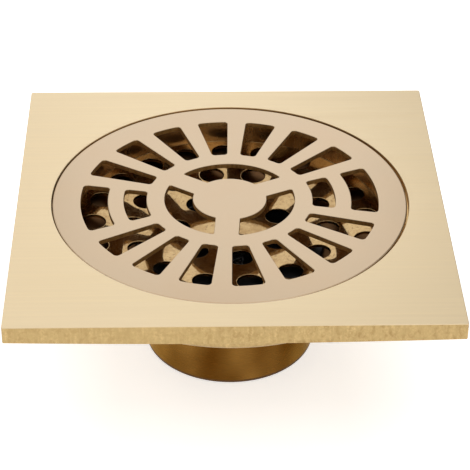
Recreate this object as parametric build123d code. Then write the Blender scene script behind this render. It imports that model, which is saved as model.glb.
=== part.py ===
"""Floor drain with a square brass frame, a lift-out slotted cover, a hair strainer and a self-closing core.

Millimetres. +Z is up. The origin is the centre of the outlet spigot's lower rim, and the drain's axis is Z.
Depths are counted down from the top of the square plate.
"""
from build123d import *
from math import atan2, cos, radians, sin, sqrt
import os

# Whole drain
TOTAL_HEIGHT = 39.3
PLATE_SIDE = 100.0

# Square plate, cast with the bowl
PLATE_THICKNESS = 4.8            # at the middle of a side
UNDERSIDE_RISE = 0.032           # the underside rises towards the corners, mm per mm
PLATE_EDGE_BREAK = 0.15
RECESS_RADIUS = 42.0
RECESS_EDGE_BREAK = 0.15
COVER_SEAT_DEPTH = 1.5
COVER_SEAT_INNER_RADIUS = 40.2
STRAINER_SEAT_DEPTH = 2.6
BOWL_RADIUS = 38.8
BOWL_OUTER_RADIUS = 43.4
BOWL_DRAFT = 0.6                 # the bowl is this much wider where it meets the plate
BOWL_CORNER_DEPTH = 9.2
BOWL_UNDERSIDE_DEPTH = 11.6
BOWL_OUTER_ROUND = 2.0
CORE_SEAT_DEPTH = 13.0
CORE_SEAT_RADIUS = 24.0
SOCKET_RADIUS = 24.4
SOCKET_TOP_DEPTH = 15.8
SOCKET_END_DEPTH = 20.3

# Outlet spigot
SPIGOT_RADIUS = 20.45
SPIGOT_BORE_RADIUS = 18.4
SHANK_RADIUS = 20.0              # turned down where it enters the socket
SHANK_TOP_DEPTH = 15.6
SPIGOT_RIM_BREAK = 0.6

# Slotted cover
COVER_RADIUS = 41.72
COVER_EDGE_BREAK = 0.25
COVER_TOP_DEPTH = 0.3
COVER_TURN = 5.8                 # the loose cover lies turned by this angle, degrees
COVER_SHIFT = (-0.15, 0.05)      # and this far off centre in its recess
SLOT_INNER_RADIUS = 19.6
SLOT_OUTER_RADIUS = 35.05
SLOT_INNER_WIDTH = 3.65
SLOT_OUTER_WIDTH = 7.6
SLOT_PITCH = 20.0                # degrees
SLOTS_PER_SIDE = 7
SLOT_CORNER = 0.9
WINDOW_HALF_SPAN = 10.0          # a window takes the place of two slots
WINDOW_BAR_INNER_RADIUS = 24.95
WINDOW_BAR_OUTER_RADIUS = 28.7
DISC_RADIUS = 8.7
CENTRE_OPENING_RADIUS = 15.35
SPOKE_WIDTH = 5.7
SPOKE_COUNT = 3
FIRST_SPOKE = 20.0               # degrees from the windows' axis
CENTRE_CORNER = 0.45

# Hair strainer
SHEET = 0.8
STRAINER_RIM_RADIUS = 39.9
STRAINER_WALL_RADIUS = 38.2
STRAINER_FLOOR_DEPTH = 7.3       # where the floor meets the wall
STRAINER_CENTRE_DEPTH = 8.7
STRAINER_CENTRE_RADIUS = 11.0    # the floor is flat inside this radius and slopes outside it
STRAINER_SOFT_BEND = 60.0
STRAINER_CORNER = 0.2
HOLE_RADIUS = 3.0
HOLE_RINGS = (                   # ring radius and number of holes
    (12.55, 7),
    (23.0, 14),
    (32.6, 21),
)
FIRST_HOLE = -79.9               # degrees, the same for every ring

# Self-closing core
CORE_TOP_DEPTH = 11.0
FLANGE_RADIUS = 22.6
FLANGE_THICKNESS = 1.2
SHELL_RADIUS = 17.7
SHELL_BORE_RADIUS = 15.6
GROOVE_ROOT_RADIUS = 16.7
GROOVE_WIDTH = 2.0
RING_DEPTHS = {"upper_o_ring": 17.5, "lower_o_ring": 21.4}
RING_SECTION_RADIUS = 0.82
RING_OUTER_RADIUS = 18.345
BRIDGE_TOP_DEPTH = 21.1
BRIDGE_THICKNESS = 2.0
BRIDGE_RADIUS = 15.55
LEDGE_RADIUS = 14.2
BRIDGE_ARM_COUNT = 3
BRIDGE_ARM_WIDTH = 2.4
FIRST_ARM = 90.0
HUB_RADIUS = 4.4
HUB_LENGTH = 3.5
NOZZLE_RADIUS = 15.2
NOZZLE_BORE_RADIUS = 13.2
NOZZLE_TOP_DEPTH = 26.3
SEAT_DEPTH = 29.5
CORE_GASKET_INNER_RADIUS = 18.7
CORE_GASKET_OUTER_RADIUS = 22.4

# Valve
STEM_RADIUS = 1.5
STEM_CLEARANCE = 0.06
ASSEMBLY_CLEARANCE = 0.03
STEM_TOP_DEPTH = 10.3
STEM_END_DEPTH = 34.8
STEM_END_BREAK = 0.3
COLLAR_RADIUS = 2.6
COLLAR_THICKNESS = 1.0
NUT_ACROSS_FLATS = 5.5
NUT_THICKNESS = 1.6
NUT_CORNER_BREAK = 0.35
CAP_THICKNESS = 0.8
CAP_RADIUS = 4.4
CAP_SKIRT = 1.2
CAP_SKIRT_WALL = 0.6
SPRING_TOP_DEPTH = 13.1
SPRING_WIRE = 0.6
SPRING_COILS = 4.0
SPRING_RADIUS = 3.1
GASKET_WASHER_RADIUS = 7.0
GASKET_WASHER_THICKNESS = 0.6
VALVE_GASKET_RADIUS = 15.2
VALVE_GASKET_THICKNESS = 1.2
VALVE_DISC_RADIUS = 14.6
VALVE_DISC_THICKNESS = 1.8
VALVE_BOSS_RADIUS = 4.5
VALVE_BOSS_LENGTH = 0.5

PAST = 1.0                       # how far a cutting shape runs past the face it opens


def level(depth):
    """Height above the spigot's lower rim of a point this deep below the plate's top."""
    return TOTAL_HEIGHT - depth


def turned(corners):
    """Solid of revolution about Z. Each corner is (radius, depth) or (radius, depth, round)."""
    points = [(corner[0], 0, level(corner[1])) for corner in corners]
    rounds = [corner[2] if len(corner) > 2 else 0 for corner in corners]
    outline = FilletPolyline(*points, radius=rounds, close=True)
    return revolve(make_face(outline), Axis.Z)


def ring(inner_radius, outer_radius, top_depth, thickness, edge_round=0):
    """Flat ring, washer or gasket."""
    return turned([
        (inner_radius, top_depth),
        (outer_radius, top_depth, edge_round),
        (outer_radius, top_depth + thickness, edge_round),
        (inner_radius, top_depth + thickness),
    ])


def around(solid, count, first=0.0, pitch=None):
    """Copies of a shape about the drain's axis, evenly spaced unless a pitch is given."""
    step = pitch if pitch is not None else 360.0 / count
    return [Rot(0, 0, first + index * step) * solid for index in range(count)]


def drain_frame():
    """Square plate with a crowned underside, and the bowl and spigot socket cast with it."""
    plate = Pos(0, 0, level(PLATE_THICKNESS / 2)) * Box(PLATE_SIDE, PLATE_SIDE, 2 * PLATE_THICKNESS)
    corner_radius = PLATE_SIDE
    corner_depth = PLATE_THICKNESS - UNDERSIDE_RISE * (corner_radius - PLATE_SIDE / 2)
    centre_depth = PLATE_THICKNESS + UNDERSIDE_RISE * PLATE_SIDE / 2
    crown = turned([(0, 0), (corner_radius, 0), (corner_radius, corner_depth), (0, centre_depth)])
    plate = plate & crown
    plate = chamfer(plate.faces().sort_by(Axis.Z)[-1].edges(), PLATE_EDGE_BREAK)
    bowl = turned([
        (0, COVER_SEAT_DEPTH),
        (BOWL_OUTER_RADIUS + BOWL_DRAFT, COVER_SEAT_DEPTH),
        (BOWL_OUTER_RADIUS, BOWL_UNDERSIDE_DEPTH, BOWL_OUTER_ROUND),
        (SOCKET_RADIUS + BOWL_DRAFT, SOCKET_TOP_DEPTH, BOWL_OUTER_ROUND),
        (SOCKET_RADIUS, SOCKET_END_DEPTH, RECESS_EDGE_BREAK),
        (0, SOCKET_END_DEPTH),
    ])
    waterway = turned([
        (0, -PAST),
        (RECESS_RADIUS + RECESS_EDGE_BREAK, -PAST),
        (RECESS_RADIUS + RECESS_EDGE_BREAK, 0),
        (RECESS_RADIUS, RECESS_EDGE_BREAK),
        (RECESS_RADIUS, COVER_SEAT_DEPTH),
        (COVER_SEAT_INNER_RADIUS, COVER_SEAT_DEPTH),
        (COVER_SEAT_INNER_RADIUS, STRAINER_SEAT_DEPTH),
        (BOWL_RADIUS, STRAINER_SEAT_DEPTH),
        (BOWL_RADIUS, BOWL_CORNER_DEPTH, BOWL_OUTER_ROUND),
        (CORE_SEAT_RADIUS, CORE_SEAT_DEPTH),
        (SPIGOT_BORE_RADIUS, CORE_SEAT_DEPTH),
        (SPIGOT_BORE_RADIUS, SHANK_TOP_DEPTH),
        (SHANK_RADIUS, SHANK_TOP_DEPTH),
        (SHANK_RADIUS, SOCKET_END_DEPTH + PAST),
        (0, SOCKET_END_DEPTH + PAST),
    ])
    return plate + bowl - waterway


def outlet_spigot():
    """Turned tube whose shank is brazed into the socket."""
    return turned([
        (SPIGOT_BORE_RADIUS, SHANK_TOP_DEPTH),
        (SHANK_RADIUS, SHANK_TOP_DEPTH),
        (SHANK_RADIUS, SOCKET_END_DEPTH),
        (SPIGOT_RADIUS, SOCKET_END_DEPTH),
        (SPIGOT_RADIUS, TOTAL_HEIGHT - SPIGOT_RIM_BREAK),
        (SPIGOT_RADIUS - SPIGOT_RIM_BREAK, TOTAL_HEIGHT),
        (SPIGOT_BORE_RADIUS, TOTAL_HEIGHT),
    ])


def wedge_opening(inner_radius, outer_radius, half_span=0.0):
    """Opening centred on +X between two arcs. Its sides are a slot's sides, turned out by half_span."""
    taper = (SLOT_OUTER_WIDTH - SLOT_INNER_WIDTH) / 2 / (SLOT_OUTER_RADIUS - SLOT_INNER_RADIUS)

    def side_point(distance):
        offset = SLOT_INNER_WIDTH / 2 + taper * (distance - SLOT_INNER_RADIUS)
        radius = sqrt(distance ** 2 + offset ** 2)
        angle = radians(half_span) + atan2(offset, distance)
        return radius * cos(angle), radius * sin(angle)

    near_x, near_y = side_point(inner_radius - SLOT_INNER_WIDTH)
    far_x, far_y = side_point(outer_radius + SLOT_OUTER_WIDTH)
    corners = [(near_x, -near_y), (far_x, -far_y), (far_x, far_y), (near_x, near_y)]
    wedge = make_face(Polyline(*corners, close=True))
    outline = wedge & (Circle(outer_radius) - Circle(inner_radius))
    rounded = fillet(outline.vertices(), SLOT_CORNER)
    return extrude(rounded, COVER_SEAT_DEPTH + PAST)


def centre_openings():
    """The three curved openings between the centre disc and the ring, divided by straight spokes."""
    outline = Circle(CENTRE_OPENING_RADIUS) - Circle(DISC_RADIUS)
    spoke = Pos(CENTRE_OPENING_RADIUS / 2, 0) * Rectangle(CENTRE_OPENING_RADIUS + PAST, SPOKE_WIDTH)
    for placed_spoke in around(spoke, SPOKE_COUNT, FIRST_SPOKE):
        outline -= placed_spoke
    return [
        extrude(fillet(opening.vertices(), CENTRE_CORNER), COVER_SEAT_DEPTH + PAST)
        for opening in outline.faces()
    ]


def grate_cover():
    """Flat slotted disc: seven slots on each side, two split windows and three centre openings."""
    disc = turned([
        (0, COVER_TOP_DEPTH),
        (COVER_RADIUS - COVER_EDGE_BREAK, COVER_TOP_DEPTH),
        (COVER_RADIUS, COVER_TOP_DEPTH + COVER_EDGE_BREAK),
        (COVER_RADIUS, COVER_SEAT_DEPTH),
        (0, COVER_SEAT_DEPTH),
    ])
    slot = wedge_opening(SLOT_INNER_RADIUS, SLOT_OUTER_RADIUS)
    inner_window = wedge_opening(SLOT_INNER_RADIUS, WINDOW_BAR_INNER_RADIUS, WINDOW_HALF_SPAN)
    outer_window = wedge_opening(WINDOW_BAR_OUTER_RADIUS, SLOT_OUTER_RADIUS, WINDOW_HALF_SPAN)
    openings = centre_openings()
    openings += around(inner_window, 2)
    openings += around(outer_window, 2)
    first_slot = 90.0 - SLOT_PITCH * (SLOTS_PER_SIDE - 1) / 2
    openings += around(slot, SLOTS_PER_SIDE, first_slot, SLOT_PITCH)
    openings += around(slot, SLOTS_PER_SIDE, first_slot + 180.0, SLOT_PITCH)
    for opening in openings:
        disc -= Pos(0, 0, level(COVER_SEAT_DEPTH + PAST / 2)) * opening
    return Pos(*COVER_SHIFT) * Rot(0, 0, COVER_TURN) * disc


def hair_strainer():
    """Pressed dish with a rim that rests in the frame, and three rings of holes."""
    inner_wall = STRAINER_WALL_RADIUS - SHEET
    rim_depth = STRAINER_SEAT_DEPTH - SHEET
    dish = turned([
        (0, STRAINER_CENTRE_DEPTH),
        (STRAINER_CENTRE_RADIUS, STRAINER_CENTRE_DEPTH, STRAINER_SOFT_BEND),
        (inner_wall, STRAINER_FLOOR_DEPTH, STRAINER_CORNER),
        (inner_wall, rim_depth, SHEET / 2),
        (STRAINER_RIM_RADIUS, rim_depth),
        (STRAINER_RIM_RADIUS, STRAINER_SEAT_DEPTH),
        (STRAINER_WALL_RADIUS, STRAINER_SEAT_DEPTH),
        (STRAINER_WALL_RADIUS, STRAINER_FLOOR_DEPTH + SHEET, STRAINER_CORNER + SHEET),
        (STRAINER_CENTRE_RADIUS, STRAINER_CENTRE_DEPTH + SHEET, STRAINER_SOFT_BEND),
        (0, STRAINER_CENTRE_DEPTH + SHEET),
    ])
    middle = level((STRAINER_FLOOR_DEPTH + STRAINER_CENTRE_DEPTH + SHEET) / 2)
    length = STRAINER_CENTRE_DEPTH - STRAINER_FLOOR_DEPTH + SHEET + 2 * PAST
    for ring_radius, count in HOLE_RINGS:
        hole = Pos(ring_radius, 0, middle) * Cylinder(HOLE_RADIUS, length)
        for placed_hole in around(hole, count, FIRST_HOLE):
            dish -= placed_hole
    return dish


def core_shell():
    """Plastic sleeve: flange on top, two seal grooves, a ledge for the bridge and the valve's seat below."""
    flange_bottom = CORE_TOP_DEPTH + FLANGE_THICKNESS
    ledge_depth = BRIDGE_TOP_DEPTH + BRIDGE_THICKNESS
    shell = turned([
        (SHELL_BORE_RADIUS, CORE_TOP_DEPTH, RING_SECTION_RADIUS / 2),
        (FLANGE_RADIUS, CORE_TOP_DEPTH, RING_SECTION_RADIUS / 2),
        (FLANGE_RADIUS, flange_bottom),
        (SHELL_RADIUS, flange_bottom),
        (SHELL_RADIUS, ledge_depth + FLANGE_THICKNESS),
        (NOZZLE_RADIUS, NOZZLE_TOP_DEPTH),
        (NOZZLE_RADIUS, SEAT_DEPTH),
        (NOZZLE_BORE_RADIUS, SEAT_DEPTH),
        (NOZZLE_BORE_RADIUS, NOZZLE_TOP_DEPTH),
        (LEDGE_RADIUS, ledge_depth),
        (SHELL_BORE_RADIUS, ledge_depth),
    ])
    for ring_depth in RING_DEPTHS.values():
        groove_top = ring_depth - GROOVE_WIDTH / 2
        shell -= ring(GROOVE_ROOT_RADIUS, SHELL_RADIUS + PAST, groove_top, GROOVE_WIDTH)
    return shell


def o_ring(depth):
    """Rubber ring in one of the shell's grooves."""
    section_centre = RING_OUTER_RADIUS - RING_SECTION_RADIUS
    return Pos(0, 0, level(depth)) * Torus(section_centre, RING_SECTION_RADIUS)


def core_gasket():
    """Flat ring between the core's flange and its seat."""
    top = CORE_TOP_DEPTH + FLANGE_THICKNESS
    return ring(CORE_GASKET_INNER_RADIUS, CORE_GASKET_OUTER_RADIUS, top, CORE_SEAT_DEPTH - top)


def guide_bridge():
    """Three-armed spider whose hub guides the stem."""
    bridge = ring(LEDGE_RADIUS, BRIDGE_RADIUS, BRIDGE_TOP_DEPTH, BRIDGE_THICKNESS)
    bridge += ring(STEM_RADIUS + STEM_CLEARANCE, HUB_RADIUS, BRIDGE_TOP_DEPTH, HUB_LENGTH)
    arm_start = (STEM_RADIUS + HUB_RADIUS) / 2
    arm_end = (LEDGE_RADIUS + BRIDGE_RADIUS) / 2
    arm_middle = Pos((arm_start + arm_end) / 2, 0, level(BRIDGE_TOP_DEPTH + BRIDGE_THICKNESS / 2))
    arm = arm_middle * Box(arm_end - arm_start, BRIDGE_ARM_WIDTH, BRIDGE_THICKNESS)
    for placed_arm in around(arm, BRIDGE_ARM_COUNT, FIRST_ARM):
        bridge += placed_arm
    return bridge


def valve_stem():
    """Straight stem with a collar that the valve's washer is clamped against."""
    collar_bottom = SEAT_DEPTH - GASKET_WASHER_THICKNESS
    return turned([
        (0, STEM_TOP_DEPTH),
        (STEM_RADIUS - STEM_END_BREAK, STEM_TOP_DEPTH),
        (STEM_RADIUS, STEM_TOP_DEPTH + STEM_END_BREAK),
        (STEM_RADIUS, collar_bottom - COLLAR_THICKNESS),
        (COLLAR_RADIUS, collar_bottom - COLLAR_THICKNESS),
        (COLLAR_RADIUS, collar_bottom),
        (STEM_RADIUS, collar_bottom),
        (STEM_RADIUS, STEM_END_DEPTH - STEM_END_BREAK),
        (STEM_RADIUS - STEM_END_BREAK, STEM_END_DEPTH),
        (0, STEM_END_DEPTH),
    ])


def hex_nut(top_depth):
    """Thin hexagon nut with its corners turned off on both faces."""
    corner_radius = NUT_ACROSS_FLATS / 2 / cos(radians(30))
    hexagon = extrude(RegularPolygon(corner_radius, 6), NUT_THICKNESS)
    hexagon = Pos(0, 0, level(top_depth + NUT_THICKNESS)) * hexagon
    blank = turned([
        (STEM_RADIUS + ASSEMBLY_CLEARANCE, top_depth),
        (corner_radius - NUT_CORNER_BREAK, top_depth),
        (corner_radius, top_depth + NUT_CORNER_BREAK / 2),
        (corner_radius, top_depth + NUT_THICKNESS - NUT_CORNER_BREAK / 2),
        (corner_radius - NUT_CORNER_BREAK, top_depth + NUT_THICKNESS),
        (STEM_RADIUS + ASSEMBLY_CLEARANCE, top_depth + NUT_THICKNESS),
    ])
    return hexagon & blank


def spring_cap():
    """Cupped washer that holds the spring's top end centred."""
    top = SPRING_TOP_DEPTH - CAP_THICKNESS
    return turned([
        (STEM_RADIUS + ASSEMBLY_CLEARANCE, top),
        (CAP_RADIUS, top, CAP_THICKNESS / 2),
        (CAP_RADIUS, SPRING_TOP_DEPTH + CAP_SKIRT),
        (CAP_RADIUS - CAP_SKIRT_WALL, SPRING_TOP_DEPTH + CAP_SKIRT),
        (CAP_RADIUS - CAP_SKIRT_WALL, SPRING_TOP_DEPTH),
        (STEM_RADIUS + ASSEMBLY_CLEARANCE, SPRING_TOP_DEPTH),
    ])


def valve_spring():
    """Compression spring between the hub and the cap, at its closed-valve length."""
    coiled_height = BRIDGE_TOP_DEPTH - SPRING_TOP_DEPTH - SPRING_WIRE
    path = Helix(coiled_height / SPRING_COILS, coiled_height, SPRING_RADIUS)
    section = Plane(origin=path @ 0, z_dir=path % 0) * Circle(SPRING_WIRE / 2)
    coil = sweep(section, path=path, is_frenet=True)
    return Pos(0, 0, level(BRIDGE_TOP_DEPTH) + SPRING_WIRE / 2) * coil


def valve_disc():
    """Rigid disc that backs the rubber, with a boss for its nut."""
    top = SEAT_DEPTH + VALVE_GASKET_THICKNESS
    bottom = top + VALVE_DISC_THICKNESS
    return turned([
        (STEM_RADIUS + ASSEMBLY_CLEARANCE, top),
        (VALVE_DISC_RADIUS, top),
        (VALVE_DISC_RADIUS, bottom, VALVE_BOSS_LENGTH),
        (VALVE_BOSS_RADIUS, bottom),
        (VALVE_BOSS_RADIUS, bottom + VALVE_BOSS_LENGTH),
        (STEM_RADIUS + ASSEMBLY_CLEARANCE, bottom + VALVE_BOSS_LENGTH),
    ])


def all_parts():
    """Every piece by its node's name."""
    stem_hole = STEM_RADIUS + ASSEMBLY_CLEARANCE
    washer_top = SEAT_DEPTH - GASKET_WASHER_THICKNESS
    top_nut_depth = SPRING_TOP_DEPTH - CAP_THICKNESS - NUT_THICKNESS
    boss_bottom = SEAT_DEPTH + VALVE_GASKET_THICKNESS + VALVE_DISC_THICKNESS + VALVE_BOSS_LENGTH
    parts = {
        "drain_frame": drain_frame(),
        "outlet_spigot": outlet_spigot(),
        "grate_cover": grate_cover(),
        "hair_strainer": hair_strainer(),
        "core_shell": core_shell(),
        "core_gasket": core_gasket(),
        "guide_bridge": guide_bridge(),
        "valve_stem": valve_stem(),
        "stem_top_nut": hex_nut(top_nut_depth),
        "spring_cap": spring_cap(),
        "valve_spring": valve_spring(),
        "gasket_washer": ring(stem_hole, GASKET_WASHER_RADIUS, washer_top, GASKET_WASHER_THICKNESS),
        "valve_gasket": ring(stem_hole, VALVE_GASKET_RADIUS, SEAT_DEPTH, VALVE_GASKET_THICKNESS),
        "valve_disc": valve_disc(),
        "stem_bottom_nut": hex_nut(boss_bottom),
    }
    for name, depth in RING_DEPTHS.items():
        parts[name] = o_ring(depth)
    return parts


os.makedirs("parts", exist_ok=True)
for part_name, part in all_parts().items():
    export_step(part, f"parts/{part_name}.step")
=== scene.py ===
from math import atan2, ceil, cos, hypot, pi, radians, sin, sqrt, tan

import bmesh
import bpy
from mathutils import Matrix, Vector
from mathutils.geometry import delaunay_2d_cdt


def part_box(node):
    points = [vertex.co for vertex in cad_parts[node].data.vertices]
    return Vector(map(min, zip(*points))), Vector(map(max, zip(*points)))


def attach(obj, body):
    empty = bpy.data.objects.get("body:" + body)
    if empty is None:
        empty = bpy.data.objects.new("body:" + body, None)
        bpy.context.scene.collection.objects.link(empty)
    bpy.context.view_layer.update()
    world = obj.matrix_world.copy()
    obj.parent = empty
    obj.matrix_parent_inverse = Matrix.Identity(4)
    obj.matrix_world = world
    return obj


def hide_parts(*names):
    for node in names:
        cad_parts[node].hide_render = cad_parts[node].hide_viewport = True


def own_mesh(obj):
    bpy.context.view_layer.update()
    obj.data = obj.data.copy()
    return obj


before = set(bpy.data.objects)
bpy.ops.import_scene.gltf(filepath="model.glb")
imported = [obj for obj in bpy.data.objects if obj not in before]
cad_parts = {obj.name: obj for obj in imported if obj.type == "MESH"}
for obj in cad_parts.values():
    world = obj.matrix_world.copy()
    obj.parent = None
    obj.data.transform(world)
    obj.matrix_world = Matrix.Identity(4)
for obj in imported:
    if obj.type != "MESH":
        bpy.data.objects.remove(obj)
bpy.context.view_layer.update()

# Sizes are in millimetres, and depths count down from the top of the square plate, as in the CAD model.
MM = 0.001
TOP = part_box("drain_frame")[1].z / MM
PLATE_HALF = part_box("drain_frame")[1].x / MM
FINE = 0.12                       # the rounding that any machined or pressed edge has
RUN_ON = 1.0                      # how far an open profile runs on past its ends, to be cut off once rounded
TURN_STEPS = 192                  # points round a turned piece
ROUND_STEPS = 4                   # steps over the plate's upper edge and round its corners
FINE_STEPS = 3                    # steps over every finer edge
LEAST_STEPS = 2
ARC_STEP = radians(18)            # the most that a step of a rounded profile turns
SIDE_SHARE = 0.49                 # the most of a profile's side that one rounding takes
CHORD = 0.7                       # the longest step along an opening's inner or outer arc
CORNER_STEPS = 6                  # steps round an opening's corner
LEAST_FACING = 0.5                # keeps a grown outline's sharp corner from running far out
TOLERANCE = 1e-6


# ---------------------------------------------------------------- outlines

def soften(corners):
    """Profile points for (radius, depth) or (radius, depth, round) corners, each rounded by an arc."""
    count = len(corners)
    points = []
    for index, corner in enumerate(corners):
        here = Vector(corner[:2])
        size = corner[2] if len(corner) > 2 else FINE
        if size == 0:
            points.append(tuple(here))
            continue
        before = Vector(corners[index - 1][:2]) - here
        after = Vector(corners[(index + 1) % count][:2]) - here
        opening = before.angle(after)
        reach = min(size / tan(opening / 2), SIDE_SHARE * before.length, SIDE_SHARE * after.length)
        size = reach * tan(opening / 2)
        centre = here + (before.normalized() + after.normalized()).normalized() * (size / sin(opening / 2))
        start = here + before.normalized() * reach - centre
        end = here + after.normalized() * reach - centre
        turn = start.angle_signed(end)
        steps = max(LEAST_STEPS, ceil(abs(turn) / ARC_STEP))
        for step in range(steps + 1):
            arm = Matrix.Rotation(-turn * step / steps, 2) @ start
            points.append(tuple(centre + arm))
    return points


def first_deeper(profile, limit, start=0):
    """Index of the first profile point from start on that lies deeper than limit."""
    return next(index for index in range(start, len(profile)) if profile[index][1] > limit)


def quarter_round(size, steps):
    """The (inward, down) places of a rounded edge, from the side over to the face."""
    turns = [radians(90 * step / steps) for step in range(steps + 1)]
    return [(size * (1 - cos(turn)), size * (1 - sin(turn))) for turn in turns]


def arc(centre, radius, start, end, steps):
    """Points along an arc, with both its ends."""
    return [
        (centre[0] + radius * cos(start + (end - start) * i / steps),
         centre[1] + radius * sin(start + (end - start) * i / steps))
        for i in range(steps + 1)
    ]


def arc_opening(inner, outer, point, angle, corner):
    """Outline centred on +X between two arcs, with straight sides and rounded corners.

    The upper side passes through point in the direction of angle.
    """
    along = Vector((cos(angle), sin(angle)))
    inward = Vector((sin(angle), -cos(angle)))
    base = Vector(point) + inward * corner
    half = base.dot(along)

    def round_centre(radius):
        """The centre of a corner's arc, at this radius from the axis."""
        return base + along * (-half + sqrt(half * half - base.length_squared + radius * radius))

    far = round_centre(outer - corner)
    near = round_centre(inner + corner)
    side = atan2(-inward.y, -inward.x)
    far_angle = atan2(far.y, far.x)
    near_angle = atan2(near.y, near.x)
    upper = arc((0, 0), outer, 0, far_angle, max(LEAST_STEPS, ceil(outer * far_angle / CHORD)))
    upper += arc(far, corner, far_angle, side, CORNER_STEPS)[1:]
    upper += arc(near, corner, side, near_angle + pi, CORNER_STEPS)
    upper += arc((0, 0), inner, near_angle, 0, max(LEAST_STEPS, ceil(inner * near_angle / CHORD)))[1:]
    lower = [(x, -y) for x, y in reversed(upper[1:-1])]
    return upper + lower


def circle_outline(radius, steps, centre=(0, 0)):
    return arc(centre, radius, 0, 2 * pi, steps)[:-1]


def turned_outline(outline, angle):
    return [(x * cos(angle) - y * sin(angle), x * sin(angle) + y * cos(angle)) for x, y in outline]


def grown(outline, amount):
    """The outline moved outwards by amount. Outlines run counter-clockwise."""
    count = len(outline)
    result = []
    for i, here in enumerate(outline):
        before = Vector(here) - Vector(outline[i - 1])
        after = Vector(outline[(i + 1) % count]) - Vector(here)
        out_before = Vector((before.y, -before.x)).normalized()
        out_after = Vector((after.y, -after.x)).normalized()
        out = (out_before + out_after).normalized()
        result.append(tuple(Vector(here) + out * (amount / max(out.dot(out_after), LEAST_FACING))))
    return result


# ---------------------------------------------------------------- meshes

SHARP_ANGLE = radians(40)
STRONG_FACES = 90                 # how much a large face outweighs a small one in the shading; 50 is neutral
INSIDE_ONLY = 1                   # the triangulation's mode that leaves out what lies outside the outlines


class Shape:
    """Collects rings of points and the faces between them, in millimetres and depths."""

    def __init__(self):
        self.points = []
        self.faces = []
        self.zones = []

    def ring(self, outline, depth):
        """Adds a ring. depth is a number, or a function of x and y."""
        first = len(self.points)
        for x, y in outline:
            down = depth(x, y) if callable(depth) else depth
            self.points.append((x * MM, y * MM, (TOP - down) * MM))
        return list(range(first, len(self.points)))

    def skin(self, one, other, zone):
        """Quads between two rings that have as many points."""
        count = len(one)
        for i in range(count):
            j = (i + 1) % count
            self.faces.append((one[i], one[j], other[j], other[i]))
            self.zones.append(zone)

    def skins(self, rings, zone=0):
        for one, other in zip(rings, rings[1:]):
            self.skin(one, other, zone)

    def cap(self, ends, depth, zone, grid=()):
        """Fills the first outline less the others, with any grid points.

        ends are pairs of an outline and its ring.
        """
        known = [index for _, ring in ends for index in ring]
        vertices = [Vector(point) for outline, _ in ends for point in outline]
        vertices += [Vector(point) for point in grid]
        loops = []
        start = 0
        for outline, _ in ends:
            loops.append(list(range(start, start + len(outline))))
            start += len(outline)
        made, _, triangles, from_vertices, _, from_faces = delaunay_2d_cdt(
            vertices, [], loops, INSIDE_ONLY, TOLERANCE, True,
        )
        lookup = []
        for place, sources in zip(made, from_vertices):
            source = min(sources, default=len(known))
            if source < len(known):
                lookup.append(known[source])
            else:
                lookup += self.ring([tuple(place)], depth)
        for triangle, sources in zip(triangles, from_faces):
            if list(sources) == [0]:
                self.faces.append(tuple(lookup[i] for i in triangle))
                self.zones.append(zone)

    def build(self, name, body, node, materials):
        """Makes the object, rides it on its body and hides the CAD node that it stands for."""
        mesh = bpy.data.meshes.new(name)
        mesh.from_pydata(self.points, [], self.faces)
        for material in materials:
            mesh.materials.append(material)
        mesh.polygons.foreach_set("material_index", self.zones)
        work = bmesh.new()
        work.from_mesh(mesh)
        bmesh.ops.recalc_face_normals(work, faces=work.faces)
        work.to_mesh(mesh)
        work.free()
        mesh.shade_smooth()
        mesh.set_sharp_from_angle(angle=SHARP_ANGLE)
        piece = bpy.data.objects.new(name, mesh)
        bpy.context.scene.collection.objects.link(piece)
        even = piece.modifiers.new("even_shading", "WEIGHTED_NORMAL")
        even.keep_sharp = True
        even.weight = STRONG_FACES
        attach(piece, body)
        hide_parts(node)
        return piece


# ---------------------------------------------------------------- materials
# Noise scales are per metre, so a scale of 1000 makes detail about a millimetre wide. Colours are linear.

GLOSSIER = 0.06                   # how far the roughness of the core's parts varies each way
DULLER = 0.08


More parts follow.
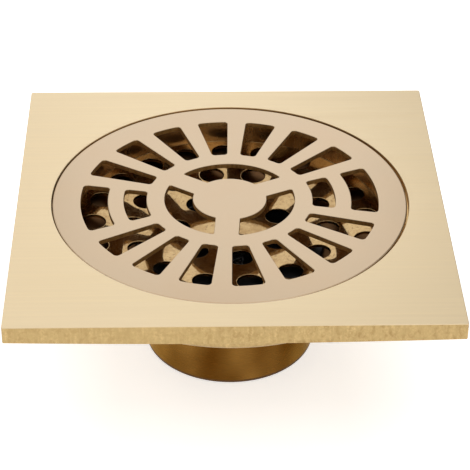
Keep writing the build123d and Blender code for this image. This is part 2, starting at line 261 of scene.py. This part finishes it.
class Nodes:
    """A material's node tree, with short calls for what the materials here need."""

    def __init__(self, name, colour, roughness, metallic=1.0, **plain):
        self.material = bpy.data.materials.new(name)
        self.material.use_nodes = True
        self.tree = self.material.node_tree
        self.shader = self.tree.nodes["Principled BSDF"]
        self.shader.inputs["Base Color"].default_value = (*colour, 1)
        self.shader.inputs["Roughness"].default_value = roughness
        self.shader.inputs["Metallic"].default_value = metallic
        for socket, value in plain.items():
            self.shader.inputs[socket.replace("_", " ").title()].default_value = value
        self.colour = colour
        self.place = self.tree.nodes.new("ShaderNodeTexCoord").outputs["Object"]

    def link(self, source, target):
        self.tree.links.new(source, target)

    def stretched(self, scale):
        """Object coordinates, each scaled. A large number makes fine detail that way."""
        mapping = self.tree.nodes.new("ShaderNodeMapping")
        mapping.inputs["Scale"].default_value = scale
        self.link(self.place, mapping.inputs["Vector"])
        return mapping.outputs["Vector"]

    def round_the_axis(self, around, across, up):
        """Cylindrical coordinates about the drain's axis: angle, radius and height, each scaled."""
        parts = self.tree.nodes.new("ShaderNodeSeparateXYZ")
        self.link(self.place, parts.inputs[0])
        angle = self.math("ARCTAN2", parts.outputs["Y"], parts.outputs["X"])
        flat = self.math("MULTIPLY", parts.outputs["X"], parts.outputs["X"])
        flat = self.math("MULTIPLY_ADD", parts.outputs["Y"], parts.outputs["Y"], flat)
        radius = self.math("SQRT", flat)
        joined = self.tree.nodes.new("ShaderNodeCombineXYZ")
        self.link(self.math("MULTIPLY", angle, around), joined.inputs["X"])
        self.link(self.math("MULTIPLY", radius, across), joined.inputs["Y"])
        self.link(self.math("MULTIPLY", parts.outputs["Z"], up), joined.inputs["Z"])
        return joined.outputs["Vector"]

    def math(self, operation, *values):
        node = self.tree.nodes.new("ShaderNodeMath")
        node.operation = operation
        for socket, value in zip(node.inputs, values):
            if isinstance(value, (int, float)):
                socket.default_value = value
            else:
                self.link(value, socket)
        return node.outputs[0]

    def noise(self, vector, scale, detail=3.0, rough=0.6):
        node = self.tree.nodes.new("ShaderNodeTexNoise")
        node.inputs["Scale"].default_value = scale
        node.inputs["Detail"].default_value = detail
        node.inputs["Roughness"].default_value = rough
        self.link(vector, node.inputs["Vector"])
        return node.outputs["Fac"]

    def spread(self, source, low, high, from_low=0.3, from_high=0.7):
        """Maps a value between from_low and from_high onto low to high."""
        node = self.tree.nodes.new("ShaderNodeMapRange")
        for socket, value in zip(list(node.inputs)[1:5], (from_low, from_high, low, high)):
            socket.default_value = value
        self.link(source, node.inputs["Value"])
        return node.outputs["Result"]

    def tint(self, source, shade):
        """Mixes shade into the base colour: all of it where source is 0, none where it is 1."""
        mix = self.tree.nodes.new("ShaderNodeMix")
        mix.data_type = "RGBA"
        previous = self.shader.inputs["Base Color"]
        mix.inputs["A"].default_value = (*shade, 1)
        if previous.is_linked:
            self.link(previous.links[0].from_socket, mix.inputs["B"])
        else:
            mix.inputs["B"].default_value = (*self.colour, 1)
        self.link(source, mix.inputs["Factor"])
        self.link(mix.outputs["Result"], previous)

    def rough(self, source):
        self.link(source, self.shader.inputs["Roughness"])

    def bump(self, source, height, strength):
        """Adds relief. height is in millimetres."""
        node = self.tree.nodes.new("ShaderNodeBump")
        node.inputs["Strength"].default_value = strength
        node.inputs["Distance"].default_value = height * MM
        self.link(source, node.inputs["Height"])
        previous = self.shader.inputs["Normal"]
        if previous.is_linked:
            self.link(previous.links[0].from_socket, node.inputs["Normal"])
        self.link(node.outputs["Normal"], previous)


def scaled(colour, share):
    return tuple(share * part for part in colour)


def brushed_plate():
    """The plate's top: satin brass with fine lines along X."""
    look = Nodes("frame_top_satin", (0.785, 0.635, 0.408), 0.36, anisotropic=0.35)
    lines = look.noise(look.stretched((14, 2600, 1)), 1.0, detail=4, rough=0.65)
    streaks = look.noise(look.stretched((26, 1100, 1)), 1.0, detail=3)
    broad = look.noise(look.stretched((9, 60, 1)), 1.0, detail=2)
    cloud = look.noise(look.place, 28.0, detail=2)
    look.tint(look.spread(cloud, 0, 1), (0.765, 0.61, 0.378))
    look.tint(look.spread(broad, 0.55, 1), (0.785, 0.63, 0.39))
    look.tint(look.spread(streaks, 0.1, 1), (0.725, 0.58, 0.37))
    look.tint(look.spread(lines, 0.1, 1), (0.72, 0.575, 0.37))
    look.rough(look.spread(lines, 0.30, 0.43))
    look.bump(lines, 0.004, 0.6)
    return look.material


def cast_side():
    """The plate's sides and the bowl's outside: cast brass with upright streaks, mottled dark in places,
    with broad darker areas that are partly uneven tone and partly painted shade.
    """
    look = Nodes("frame_cast", (0.836, 0.603, 0.3), 0.42)
    streaks = look.noise(look.stretched((1300, 1300, 90)), 1.0, detail=3)
    patches = look.noise(look.place, 420.0, detail=4)
    broad = look.noise(look.place, 45.0, detail=2)
    specks = look.noise(look.place, 1500.0, detail=2)
    look.tint(look.spread(patches, 0, 1), (0.443, 0.314, 0.131))
    look.tint(look.spread(streaks, 0.1, 1), (0.406, 0.277, 0.119))
    look.tint(look.spread(specks, 0.1, 1), (0.406, 0.289, 0.125))
    # partly painted shade: broad darker areas that stand in for the light falling off across the front face
    look.tint(look.spread(broad, 0.3, 1), (0.48, 0.338, 0.15))
    mottle = look.noise(look.stretched((800, 800, 450)), 1.0, detail=4, rough=0.65)
    clean = look.spread(look.noise(look.place, 12.0, detail=1), 1, 0, 0.44, 0.58)
    look.tint(look.math("MAXIMUM", look.spread(mottle, 0, 1, 0.34, 0.5), clean), (0.37, 0.245, 0.10))
    look.rough(look.spread(patches, 0.36, 0.52))
    look.bump(streaks, 0.015, 0.5)
    look.bump(patches, 0.03, 0.35)
    return look.material


def turned_inside():
    """The strainer's seat and the bowl's inside: bare turned brass, browned in patches."""
    look = Nodes("frame_inside", (0.34, 0.19, 0.09), 0.40)
    rings = look.noise(look.round_the_axis(2.0, 5200, 5200), 1.0, detail=2)
    stain = look.noise(look.place, 90.0, detail=3)
    look.tint(look.spread(stain, 0, 1), (0.22, 0.115, 0.05))
    look.rough(look.spread(stain, 0.34, 0.5))
    look.bump(rings, 0.004, 0.5)
    return look.material


def recess_wall():
    """The shallow recess that holds the cover: turned brass with fine rings."""
    look = Nodes("frame_recess", (0.82, 0.58, 0.27), 0.35)
    rings = look.noise(look.round_the_axis(2.0, 3000, 3000), 1.0, detail=2)
    look.tint(look.spread(rings, 0, 1), (0.70, 0.47, 0.20))
    look.rough(look.spread(rings, 0.3, 0.42))
    look.bump(rings, 0.003, 0.4)
    return look.material


def satin_cover():
    """The cover's upper face and rim: satin brass, lightly blasted, with faint clouds."""
    look = Nodes("cover_satin", (0.50, 0.380, 0.252), 0.18)
    grain = look.noise(look.place, 5200.0, detail=2)
    cloud = look.noise(look.place, 55.0, detail=3)
    look.tint(look.spread(cloud, 0, 1), (0.478, 0.352, 0.226))
    look.rough(look.spread(cloud, 0.15, 0.21))
    look.bump(grain, 0.003, 0.5)
    return look.material


def punched_edge():
    """The openings' walls: sheared brass, rougher and deeper in colour than the face."""
    look = Nodes("cover_edge", (0.66, 0.42, 0.16), 0.5)
    shear = look.noise(look.stretched((1500, 1500, 120)), 1.0, detail=2)
    look.tint(look.spread(shear, 0, 1), (0.44, 0.26, 0.09))
    look.bump(shear, 0.02, 0.5)
    return look.material


def cover_underside():
    """The cover's underside: unbrushed brass, brown with age."""
    look = Nodes("cover_underside", (0.66, 0.46, 0.25), 0.42)
    cloud = look.noise(look.place, 70.0, detail=3)
    look.tint(look.spread(cloud, 0, 1), (0.50, 0.33, 0.16))
    look.rough(look.spread(cloud, 0.36, 0.5))
    look.bump(cloud, 0.01, 0.3)
    return look.material


def polished_dish():
    """The strainer: mirror-polished brass with brown stains, flecks, soft dents and faint pressing rings."""
    look = Nodes("strainer_polished", (0.45, 0.30, 0.136), 0.07)
    rings = look.noise(look.round_the_axis(1.0, 700, 700), 1.0, detail=2)
    stain = look.noise(look.place, 240.0, detail=6, rough=0.72)
    look.tint(look.spread(stain, 0, 1, 0.38, 0.58), (0.33, 0.20, 0.08))
    flecks = look.noise(look.place, 1100.0, detail=4, rough=0.7)
    look.tint(look.spread(flecks, 1, 0, 0.55, 0.68), (0.20, 0.11, 0.04))
    grain = look.noise(look.place, 7000.0, detail=1)
    look.rough(look.spread(grain, 0.05, 0.5, 0.56, 0.72))
    dents = look.noise(look.place, 230.0, detail=1)
    look.bump(rings, 0.004, 0.3)
    look.bump(dents, 0.035, 1.0)
    return look.material


def dish_wall():
    """The inside of the strainer's wall, and its rim: drawn brass, less glossy than the floor."""
    look = Nodes("strainer_wall", (0.80, 0.55, 0.30), 0.24)
    drawn = look.noise(look.round_the_axis(14.0, 200, 160), 1.0, detail=2)
    look.tint(look.spread(drawn, 0, 1), (0.64, 0.42, 0.21))
    look.rough(look.spread(drawn, 0.18, 0.3))
    look.bump(drawn, 0.006, 0.4)
    return look.material


def painted_shade_rim():
    """The spigot's sawn lower rim and a thin band above it, painted very dark: painted shade standing in for
    the contact shadow and dark reflection along the rim.
    """
    look = Nodes("spigot_rim_painted_shade", (0.16, 0.085, 0.03), 0.45)
    cloud = look.noise(look.place, 400.0, detail=3)
    look.tint(look.spread(cloud, 0, 1), (0.09, 0.045, 0.018))
    look.rough(look.spread(cloud, 0.38, 0.55))
    look.bump(cloud, 0.01, 0.4)
    return look.material


def turned_spigot():
    """The spigot: raw turned brass with fine rings, brown stains, and broad dark stripes round the axis that
    are a painted reflection of the studio's dark and light sides.
    """
    look = Nodes("spigot_turned", (0.32, 0.168, 0.038), 0.30, specular_tint=(0.95, 0.8, 0.55, 1))
    rings = look.noise(look.round_the_axis(1.5, 10, 4200), 1.0, detail=3)
    painted_reflection_bands = look.noise(look.round_the_axis(0.9, 0, 30), 1.0, detail=2)
    stain = look.noise(look.place, 60.0, detail=3)
    look.tint(look.spread(stain, 0.3, 1), (0.162, 0.070, 0.012))
    # painted reflection: darker stripes round the axis that stand in for the dark and light of the studio
    # seen in the tube
    look.tint(look.spread(painted_reflection_bands, 0, 1, 0.4, 0.6), (0.115, 0.044, 0.005))
    look.rough(look.spread(rings, 0.22, 0.38))
    look.bump(rings, 0.006, 0.6)
    return look.material


def moulded(name, colour, roughness, grain=900.0):
    """Moulded plastic or rubber with a fine grain and slightly uneven gloss."""
    look = Nodes(name, colour, roughness, metallic=0.0)
    speck = look.noise(look.place, grain, detail=3)
    cloud = look.noise(look.place, 70.0, detail=2)
    look.tint(look.spread(cloud, 0, 1), scaled(colour, 0.7))
    look.rough(look.spread(speck, roughness - GLOSSIER, roughness + DULLER))
    look.bump(speck, 0.02, 0.5)
    return look.material


def steel(name, colour, roughness):
    """Turned or drawn stainless steel."""
    look = Nodes(name, colour, roughness)
    rings = look.noise(look.round_the_axis(1.0, 3000, 3000), 1.0, detail=2)
    look.tint(look.spread(rings, 0.2, 1), scaled(colour, 0.75))
    look.rough(look.spread(rings, roughness - GLOSSIER, roughness + DULLER))
    look.bump(rings, 0.003, 0.5)
    return look.material


# ---------------------------------------------------------------- square frame

PLATE_THICKNESS = 4.8
UNDERSIDE_RISE = 0.032            # towards the corners, for each millimetre from the axis
PLATE_EDGE = 0.15
PLATE_CORNER = 0.4
RECESS_RADIUS = 42.0
RECESS_EDGE = 0.15
COVER_SEAT = 1.5
COVER_SEAT_INNER = 40.2
STRAINER_SEAT = 2.6
BOWL_RADIUS = 38.8
BOWL_CORNER = 9.2
BOWL_OUTER = 43.4
BOWL_DRAFT = 0.6
BOWL_BOTTOM = 11.6
BOWL_ROUND = 2.0
CORE_SEAT = 13.0
CORE_SEAT_RADIUS = 24.0
SPIGOT_BORE = 18.4
SHANK_TOP = 15.6
SHANK_RADIUS = 20.0
SOCKET_RADIUS = 24.4
SOCKET_TOP = 15.8
SOCKET_END = 20.3
SIDE_STEPS = 44
TOP_FACE, OUTSIDE, INSIDE, RECESS = range(4)


def square_outline(inset):
    """The plate's rounded square, moved in by inset."""
    reach = PLATE_HALF - PLATE_CORNER
    widest = atan2(reach, PLATE_HALF)
    side = [
        (PLATE_HALF - inset, PLATE_HALF * tan(widest * (2 * step / SIDE_STEPS - 1)))
        for step in range(SIDE_STEPS + 1)
    ]
    corner = arc((reach, reach), PLATE_CORNER - inset, 0, pi / 2, ROUND_STEPS)[1:-1]
    return [point for quarter in range(4) for point in turned_outline(side + corner, quarter * pi / 2)]


def square_frame():
    """Plate, bowl and socket as one closed casting."""
    headings = [atan2(y, x) for x, y in square_outline(0)]

    def circle(radius):
        """A circle with a point in line with each point of the square."""
        return [(radius * cos(heading), radius * sin(heading)) for heading in headings]

    def underside(x, y):
        return PLATE_THICKNESS - UNDERSIDE_RISE * (hypot(x, y) - PLATE_HALF)

    inside = soften([
        (RECESS_RADIUS + RUN_ON, 0, 0),
        (RECESS_RADIUS, 0, RECESS_EDGE),
        (RECESS_RADIUS, COVER_SEAT),
        (COVER_SEAT_INNER, COVER_SEAT),
        (COVER_SEAT_INNER, STRAINER_SEAT),
        (BOWL_RADIUS, STRAINER_SEAT),
        (BOWL_RADIUS, BOWL_CORNER, BOWL_ROUND),
        (CORE_SEAT_RADIUS, CORE_SEAT),
        (SPIGOT_BORE, CORE_SEAT),
        (SPIGOT_BORE, SHANK_TOP),
        (SHANK_RADIUS, SHANK_TOP),
        (SHANK_RADIUS, SOCKET_END),
        (SHANK_RADIUS + RUN_ON, SOCKET_END, 0),
    ])[1:-1]
    outside = soften([
        (SHANK_RADIUS + RUN_ON, SOCKET_END, 0),
        (SOCKET_RADIUS, SOCKET_END, 3 * FINE),
        (SOCKET_RADIUS + BOWL_DRAFT, SOCKET_TOP, BOWL_ROUND),
        (BOWL_OUTER, BOWL_BOTTOM, BOWL_ROUND),
        (BOWL_OUTER + BOWL_DRAFT, underside(BOWL_OUTER + BOWL_DRAFT, 0), 2 * FINE),
        (PLATE_HALF, PLATE_THICKNESS, 0),
    ])[1:-1]
    shape = Shape()
    inner_rings = [shape.ring(circle(radius), depth) for radius, depth in inside]
    outer_rings = [shape.ring(circle(radius), depth) for radius, depth in outside]
    lower_edge = [
        shape.ring(square_outline(inset), lambda x, y: underside(x, y) - lift)
        for inset, lift in quarter_round(FINE, FINE_STEPS)
    ]
    upper_edge = [
        shape.ring(square_outline(inset), depth)
        for inset, depth in quarter_round(PLATE_EDGE, ROUND_STEPS)
    ]
    recess = first_deeper(inside, RECESS_EDGE - TOLERANCE)
    bowl = first_deeper(inside, COVER_SEAT + 2 * FINE)
    shape.skins(upper_edge + inner_rings[:recess + 1], TOP_FACE)
    shape.skins(inner_rings[recess:bowl], RECESS)
    shape.skins(inner_rings[bowl - 1:], INSIDE)
    shape.skins([inner_rings[-1]] + outer_rings + [lower_edge[-1]], OUTSIDE)
    shape.skins(lower_edge, OUTSIDE)
    shape.skin(lower_edge[0], upper_edge[0], OUTSIDE)
    looks = [brushed_plate(), cast_side(), turned_inside(), recess_wall()]
    shape.build("square_frame", "drain", "drain_frame", looks)


# ---------------------------------------------------------------- spigot

SPIGOT_RADIUS = 20.45
SPIGOT_RIM = 0.6
SHOULDER_ROUND = 0.02             # in the corner where the spigot meets the socket's end
RIM_PAINTED_SHADE = 0.8                    # height of the painted shade band above the lower rim
TURNED, RIM = range(2)


def spigot_tube():
    """The outlet: a turned tube, held by the socket under the bowl."""
    profile = soften([
        (SPIGOT_BORE, SHANK_TOP),
        (SHANK_RADIUS, SHANK_TOP),
        (SHANK_RADIUS, SOCKET_END, SHOULDER_ROUND),
        (SPIGOT_RADIUS, SOCKET_END),
        (SPIGOT_RADIUS, TOP - RIM_PAINTED_SHADE, 0),
        (SPIGOT_RADIUS, TOP, SPIGOT_RIM),
        (SPIGOT_BORE, TOP, 2 * FINE),
    ])
    shape = Shape()
    rings = [shape.ring(circle_outline(radius, TURN_STEPS), depth) for radius, depth in profile]
    for index, ring in enumerate(rings):
        following = (index + 1) % len(rings)
        middle = (profile[index][1] + profile[following][1]) / 2
        # the faces below that height take the rim's painted shade
        shape.skin(ring, rings[following], RIM if middle > TOP - RIM_PAINTED_SHADE else TURNED)
    looks = [turned_spigot(), painted_shade_rim()]
    shape.build("spigot_tube", "drain", "outlet_spigot", looks)


# ---------------------------------------------------------------- cover

COVER_RADIUS = 41.72
COVER_EDGE = 0.25
COVER_TOP = 0.3
COVER_TURN = radians(5.8)
COVER_SHIFT = (-0.15, 0.05)
SLOT_INNER = 19.6
SLOT_OUTER = 35.05
SLOT_INNER_WIDTH = 3.65
SLOT_OUTER_WIDTH = 7.6
SLOT_PITCH = radians(20)
SLOTS_PER_SIDE = 7
SLOT_CORNER = 0.9
WINDOW_HALF_SPAN = radians(10)
WINDOW_BAR = (24.95, 28.7)        # inner and outer radius of the bar across each window
DISC_RADIUS = 8.7
CENTRE_OUTER = 15.35
SPOKES = 3
SPOKE_WIDTH = 5.7
FIRST_SPOKE = radians(20)
CENTRE_CORNER = 0.45
PUNCH_ROUND = 0.09
EDGE_BAND = 0.14                  # flat band beside a rounded edge, which keeps the shading even
FACE, PUNCHED, UNDERSIDE = range(3)


def cover_openings():
    """Outlines of every opening in the cover, before the cover is turned."""
    taper = atan2((SLOT_OUTER_WIDTH - SLOT_INNER_WIDTH) / 2, SLOT_OUTER - SLOT_INNER)
    side = Vector((SLOT_INNER, SLOT_INNER_WIDTH / 2))
    window_side = Matrix.Rotation(WINDOW_HALF_SPAN, 2) @ side
    window_angle = taper + WINDOW_HALF_SPAN
    slot = arc_opening(SLOT_INNER, SLOT_OUTER, side, taper, SLOT_CORNER)
    windows = [
        arc_opening(SLOT_INNER, WINDOW_BAR[0], window_side, window_angle, SLOT_CORNER),
        arc_opening(WINDOW_BAR[1], SLOT_OUTER, window_side, window_angle, SLOT_CORNER),
    ]
    half_pitch = pi / SPOKES
    spoke_edge = Vector((sin(half_pitch), -cos(half_pitch))) * SPOKE_WIDTH / 2
    centre = arc_opening(DISC_RADIUS, CENTRE_OUTER, spoke_edge, half_pitch, CENTRE_CORNER)
    outlines = []
    for half_turn in (0, pi):
        outlines += [turned_outline(window, half_turn) for window in windows]
        for index in range(SLOTS_PER_SIDE):
            heading = pi / 2 + SLOT_PITCH * (index - (SLOTS_PER_SIDE - 1) / 2) + half_turn
            outlines.append(turned_outline(slot, heading))
    for index in range(SPOKES):
        outlines.append(turned_outline(centre, FIRST_SPOKE + half_pitch + 2 * half_pitch * index))
    return outlines


def rounded_edge(shape, outline, sign, depth, thickness, rounding, zones):
    """Adds one edge of a sheet: flat band, rounding, wall, rounding, flat band.

    sign is 1 round a hole and -1 round the sheet's own outline. depth is a function of x and y, and zones
    are those of the upper face, the wall and the lower face. Returns its upper and its lower end, each as
    an outline and its ring.
    """
    upper = []
    lower = []
    for offset, sink in [(rounding + EDGE_BAND, 0)] + quarter_round(rounding, FINE_STEPS)[::-1]:
        moved = grown(outline, sign * offset)
        upper.append((moved, shape.ring(moved, lambda x, y: depth(x, y) + sink)))
        lower.append((moved, shape.ring(moved, lambda x, y: depth(x, y) + thickness - sink)))
    shape.skins([ring for _, ring in upper], zones[0])
    shape.skin(upper[-1][1], lower[-1][1], zones[1])
    shape.skins([ring for _, ring in lower], zones[2])
    return upper[0], lower[0]


def slotted_cover():
    """The flat cover, turned a little and off centre in its recess, with every edge rounded."""
    thickness = COVER_SEAT - COVER_TOP

    def face(x, y):
        return COVER_TOP

    shape = Shape()
    outer = circle_outline(COVER_RADIUS, TURN_STEPS, COVER_SHIFT)
    ends = [rounded_edge(shape, outer, -1, face, thickness, COVER_EDGE, (FACE, FACE, UNDERSIDE))]
    for opening in cover_openings():
        hole = [(x + COVER_SHIFT[0], y + COVER_SHIFT[1]) for x, y in turned_outline(opening, COVER_TURN)]
        ends.append(rounded_edge(shape, hole, 1, face, thickness, PUNCH_ROUND, (FACE, PUNCHED, UNDERSIDE)))
    shape.cap([upper for upper, _ in ends], COVER_TOP, FACE)
    shape.cap([lower for _, lower in ends], COVER_SEAT, UNDERSIDE)
    looks = [satin_cover(), punched_edge(), cover_underside()]
    shape.build("slotted_cover", "cover", "grate_cover", looks)


# ---------------------------------------------------------------- strainer

SHEET = 0.8
RIM_RADIUS = 39.9
WALL_RADIUS = 38.2
FLOOR_DEPTH = 7.3
CENTRE_DEPTH = 8.7
CENTRE_RADIUS = 11.0
SOFT_BEND = 1.6                   # half the width of the bend between the flat centre and the slope
STRAINER_CORNER = 0.2
HOLE_RADIUS = 3.0
HOLE_ROUND = 0.08
HOLE_STEPS = 40
HOLE_RINGS = ((12.55, 7), (23.0, 14), (32.6, 21))    # radius and number of holes
HOLE_MARGIN = 1.0                 # keeps the floor's grid points clear of the holes' edges
FIRST_HOLE = radians(-79.9)       # the heading that each ring's first hole has
GRID_RINGS = 24
GRID_STEP = 1.5
POLISHED, DRAWN = range(2)


def floor_depth(x, y):
    """The strainer floor: a flat centre, a soft bend, and a slope up to the wall."""
    slope = (CENTRE_DEPTH - FLOOR_DEPTH) / (WALL_RADIUS - SHEET - CENTRE_RADIUS)
    run = hypot(x, y) - CENTRE_RADIUS
    if run <= -SOFT_BEND:
        return CENTRE_DEPTH
    if run >= SOFT_BEND:
        return CENTRE_DEPTH - slope * run
    return CENTRE_DEPTH - slope * (run + SOFT_BEND) ** 2 / (4 * SOFT_BEND)


def strainer_dish():
    """The dish under the cover: a floor with three rings of holes, an upright wall and a flat rim."""
    inner_wall = WALL_RADIUS - SHEET
    floor_edge = inner_wall - STRAINER_CORNER
    rim = STRAINER_SEAT - SHEET
    profile = soften([
        (floor_edge - RUN_ON, FLOOR_DEPTH, 0),
        (inner_wall, FLOOR_DEPTH, STRAINER_CORNER),
        (inner_wall, rim, SHEET / 2),
        (RIM_RADIUS, rim),
        (RIM_RADIUS, STRAINER_SEAT),
        (WALL_RADIUS, STRAINER_SEAT),
        (WALL_RADIUS, FLOOR_DEPTH + SHEET, STRAINER_CORNER + SHEET),
        (floor_edge - RUN_ON, FLOOR_DEPTH + SHEET, 0),
    ])[1:-1]
    shape = Shape()
    rings = [shape.ring(circle_outline(radius, TURN_STEPS), depth) for radius, depth in profile]
    wall_start = next(i for i, (_, depth) in enumerate(profile) if depth < FLOOR_DEPTH - SHEET / 2)
    wall_end = first_deeper(profile, STRAINER_SEAT + 2 * FINE, wall_start)
    shape.skins(rings[:wall_start], POLISHED)
    shape.skins(rings[wall_start - 1:wall_end], DRAWN)
    shape.skins(rings[wall_end - 1:], POLISHED)
    centres = []
    for radius, count in HOLE_RINGS:
        for index in range(count):
            heading = FIRST_HOLE + 2 * pi * index / count
            centres.append((radius * cos(heading), radius * sin(heading)))
    grid = []
    for step in range(1, GRID_RINGS):
        radius = floor_edge * step / GRID_RINGS
        for x, y in circle_outline(radius, round(2 * pi * radius / GRID_STEP)):
            if all(hypot(x - cx, y - cy) > HOLE_RADIUS + HOLE_MARGIN for cx, cy in centres):
                grid.append((x, y))
    edge = circle_outline(floor_edge, TURN_STEPS)
    above = [(edge, rings[0])]
    below = [(edge, rings[-1])]
    for centre in centres:
        hole = circle_outline(HOLE_RADIUS, HOLE_STEPS, centre)
        upper, lower = rounded_edge(shape, hole, 1, floor_depth, SHEET, HOLE_ROUND, (POLISHED,) * 3)
        above.append(upper)
        below.append(lower)
    shape.cap(above, floor_depth, POLISHED, grid)
    shape.cap(below, lambda x, y: floor_depth(x, y) + SHEET, POLISHED, grid)
    looks = [polished_dish(), dish_wall()]
    shape.build("strainer_dish", "strainer", "hair_strainer", looks)


# ---------------------------------------------------------------- spring

SPRING_TOP = 13.1
SPRING_END = 21.1                 # the depth of its lower end
SPRING_WIRE = 0.6
SPRING_RADIUS = 3.1
OPEN_TURNS = 3.0
CLOSED_TURNS = 0.75               # at each end, where the wire lies on itself
TURN_POINTS = 36
WIRE_POINTS = 12


def coil_spring():
    """The valve's spring, with closed end turns."""
    height = SPRING_END - SPRING_TOP
    closed = CLOSED_TURNS * SPRING_WIRE
    pitch = (height - SPRING_WIRE - 2 * closed) / OPEN_TURNS
    turns = OPEN_TURNS + 2 * CLOSED_TURNS

    def wire_centre(turn):
        """The wire's centre after so many turns from the lower end."""
        low = min(turn, CLOSED_TURNS) * SPRING_WIRE
        middle = min(max(turn - CLOSED_TURNS, 0), OPEN_TURNS) * pitch
        high = max(turn - CLOSED_TURNS - OPEN_TURNS, 0) * SPRING_WIRE
        rise = SPRING_WIRE / 2 + low + middle + high
        heading = 2 * pi * turn
        return Vector((SPRING_RADIUS * cos(heading), SPRING_RADIUS * sin(heading), TOP - SPRING_END + rise))

    shape = Shape()
    rings = []
    count = round(turns * TURN_POINTS)
    half_step = 0.5 / TURN_POINTS
    for step in range(count + 1):
        turn = turns * step / count
        centre = wire_centre(turn)
        ahead = (wire_centre(turn + half_step) - wire_centre(turn - half_step)).normalized()
        out = Vector((centre.x, centre.y, 0)).normalized()
        up = ahead.cross(out)
        first = len(shape.points)
        for point in range(WIRE_POINTS):
            around = 2 * pi * point / WIRE_POINTS
            place = centre + (out * cos(around) + up * sin(around)) * SPRING_WIRE / 2
            shape.points.append(tuple(place * MM))
        rings.append(list(range(first, first + WIRE_POINTS)))
    shape.skins(rings)
    for end in (rings[0], rings[-1]):
        shape.faces.append(tuple(end))
        shape.zones.append(0)
    looks = [steel("spring_wire", (0.50, 0.50, 0.51), 0.33)]
    spring = shape.build("coil_spring", "core", "valve_spring", looks)
    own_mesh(spring)


# ---------------------------------------------------------------- core, from the CAD solids

def finish_core():
    """The core's own solids keep their shape and get their materials."""
    black = moulded("core_plastic_black", (0.018, 0.018, 0.02), 0.42)
    rubber = moulded("seal_rubber_black", (0.012, 0.012, 0.012), 0.62, grain=1400.0)
    silicone = moulded("valve_silicone", (0.42, 0.41, 0.38), 0.5, grain=1100.0)
    bright = steel("stainless", (0.62, 0.61, 0.59), 0.28)
    looks = {
        "core_shell": black, "guide_bridge": black, "valve_disc": black,
        "core_gasket": rubber, "upper_o_ring": rubber, "lower_o_ring": rubber,
        "valve_gasket": silicone,
        "valve_stem": bright, "stem_top_nut": bright, "stem_bottom_nut": bright,
        "spring_cap": bright, "gasket_washer": bright,
    }
    for node, material in looks.items():
        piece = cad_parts[node]
        piece.data.materials.clear()
        piece.data.materials.append(material)


# ---------------------------------------------------------------- studio

CAMERA_DISTANCE = 442.2           # from the middle of the plate's top
CAMERA_AZIMUTH = radians(-1.57)
CAMERA_ELEVATION = radians(33.23)
CAMERA_ROLL = radians(0.44)
CAMERA_LENS = 143.8
CAMERA_SENSOR = 36
CAMERA_CLIP = 0.01                # in metres
CAMERA_SHIFT = (0.0099, -0.0796)
FLOOR_HALF = 3000
FLOOR_GAP = 0.1                   # keeps the floor clear of the spigot's rim, which lies level with it
FLOOR_GLOW = 0.58
SKY_STRENGTH = 0.15
WHITE = (1, 1, 1)
LIGHTS = (                        # name, place and width in metres, watts, colour
    ("overhead", (0, 0, 1.6), 2.2, 17.5, WHITE),
    ("back", (-0.4, 1.5, 0.95), 1.8, 9.2, WHITE),
    ("glow", (0.03, 1.2, 0.75), 0.36, 0.2, (0.9, 1.0, 1.15)),
    ("front", (0.4, -1.5, 0.8), 1.8, 8.4, WHITE),
    ("left", (-1.5, 0.1, 0.55), 1.6, 6.0, WHITE),
    ("right", (1.5, 0.1, 0.55), 1.6, 5.0, WHITE),
)


def camera():
    """The camera, aimed at the middle of the plate's top."""
    back = Vector((
        sin(CAMERA_AZIMUTH) * cos(CAMERA_ELEVATION),
        -cos(CAMERA_AZIMUTH) * cos(CAMERA_ELEVATION),
        sin(CAMERA_ELEVATION),
    ))
    data = bpy.data.cameras.new("camera")
    data.lens = CAMERA_LENS
    data.sensor_width = CAMERA_SENSOR
    data.shift_x, data.shift_y = CAMERA_SHIFT
    data.clip_start = CAMERA_CLIP
    eye = bpy.data.objects.new("camera", data)
    bpy.context.scene.collection.objects.link(eye)
    eye.location = Vector((0, 0, TOP * MM)) + back * CAMERA_DISTANCE * MM
    eye.rotation_mode = "QUATERNION"
    level_view = (-back).to_track_quat("-Z", "Y")
    eye.rotation_quaternion = level_view @ Matrix.Rotation(CAMERA_ROLL, 4, "Z").to_quaternion()
    bpy.context.scene.camera = eye


def soft_light(name, place, size, watts, colour):
    """Square softbox that faces the middle of the plate's top."""
    data = bpy.data.lights.new(name, "AREA")
    data.shape = "SQUARE"
    data.size = size
    data.energy = watts
    data.color = colour
    lamp = bpy.data.objects.new(name, data)
    bpy.context.scene.collection.objects.link(lamp)
    lamp.location = place
    aim = Vector((0, 0, TOP * MM)) - lamp.location
    lamp.rotation_mode = "QUATERNION"
    lamp.rotation_quaternion = aim.to_track_quat("-Z", "Y")


def studio():
    """The pale floor, the sky and the lights."""
    mesh = bpy.data.meshes.new("floor")
    outline = [(-1, -1), (1, -1), (1, 1), (-1, 1)]
    corners = [(x * FLOOR_HALF * MM, y * FLOOR_HALF * MM, -FLOOR_GAP * MM) for x, y in outline]
    mesh.from_pydata(corners, [], [(0, 1, 2, 3)])
    floor = bpy.data.objects.new("floor", mesh)
    bpy.context.scene.collection.objects.link(floor)
    paper = Nodes(
        "paper_floor", (0.93, 0.93, 0.93), 0.9, metallic=0.0,
        emission_color=(*WHITE, 1), emission_strength=FLOOR_GLOW,
    )
    mesh.materials.append(paper.material)
    world = bpy.data.worlds.new("studio")
    world.use_nodes = True
    sky = world.node_tree.nodes["Background"]
    sky.inputs["Color"].default_value = (*WHITE, 1)
    sky.inputs["Strength"].default_value = SKY_STRENGTH
    bpy.context.scene.world = world
    bpy.context.scene.view_settings.view_transform = "Standard"
    for light in LIGHTS:
        soft_light(*light)


square_frame()
spigot_tube()
slotted_cover()
strainer_dish()
coil_spring()
finish_core()
camera()
studio()
